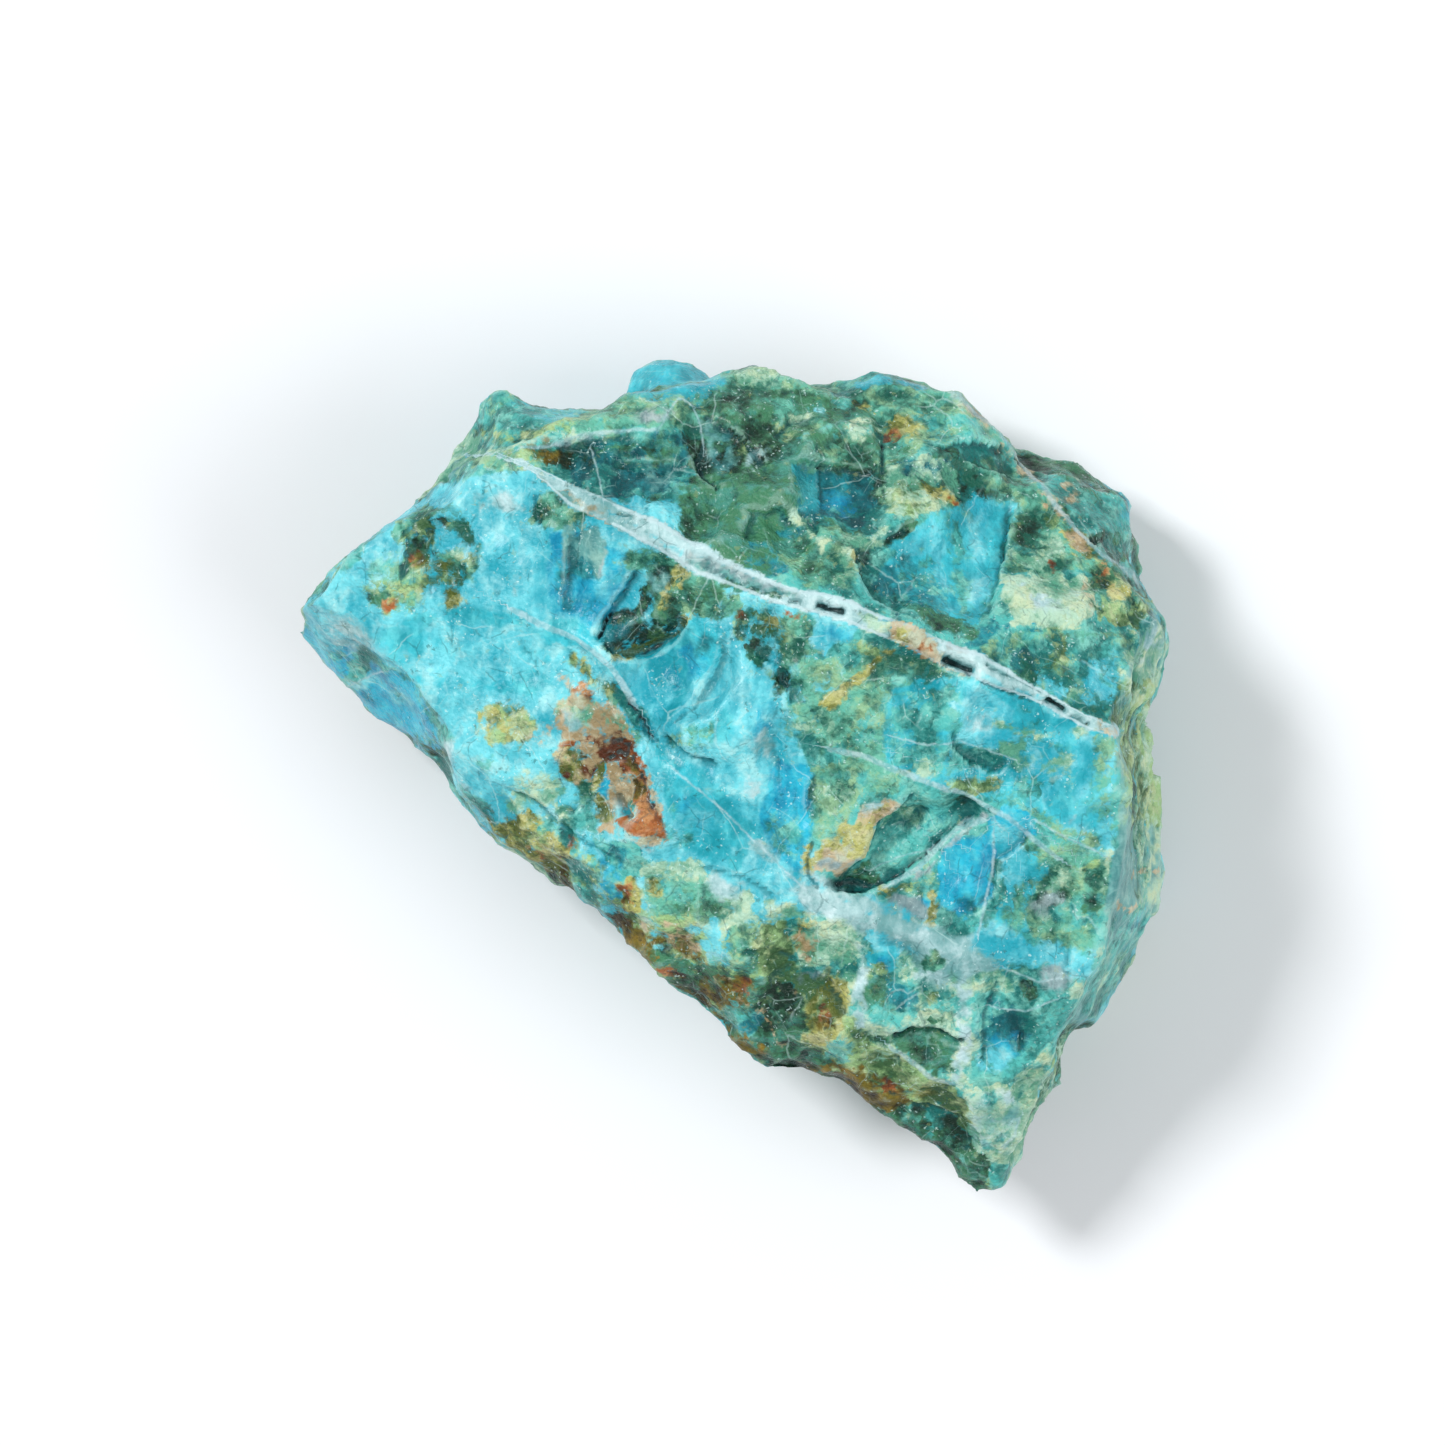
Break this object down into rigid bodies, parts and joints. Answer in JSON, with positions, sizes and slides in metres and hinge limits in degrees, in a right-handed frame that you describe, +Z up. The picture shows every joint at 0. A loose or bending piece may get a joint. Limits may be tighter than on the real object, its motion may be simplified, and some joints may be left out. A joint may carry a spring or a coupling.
{
  "type": "rough blue opal",
  "caption": "Rough broken blue and green opal with a white vein along its ridge, lying on its flat underside.",
  "frame": {"origin": "on the surface it rests on, under the middle of its bounding box", "axes": "+X along the stone's length to the right, +Y towards the dark face behind the ridge, +Z up out of the bright face"},
  "size_m": [0.0798, 0.076, 0.032],
  "materials": {
    "opal": "waxy"
  },
  "bodies": {
    "root": {"rough_opal": "opal"}
  },
  "joints": []
}
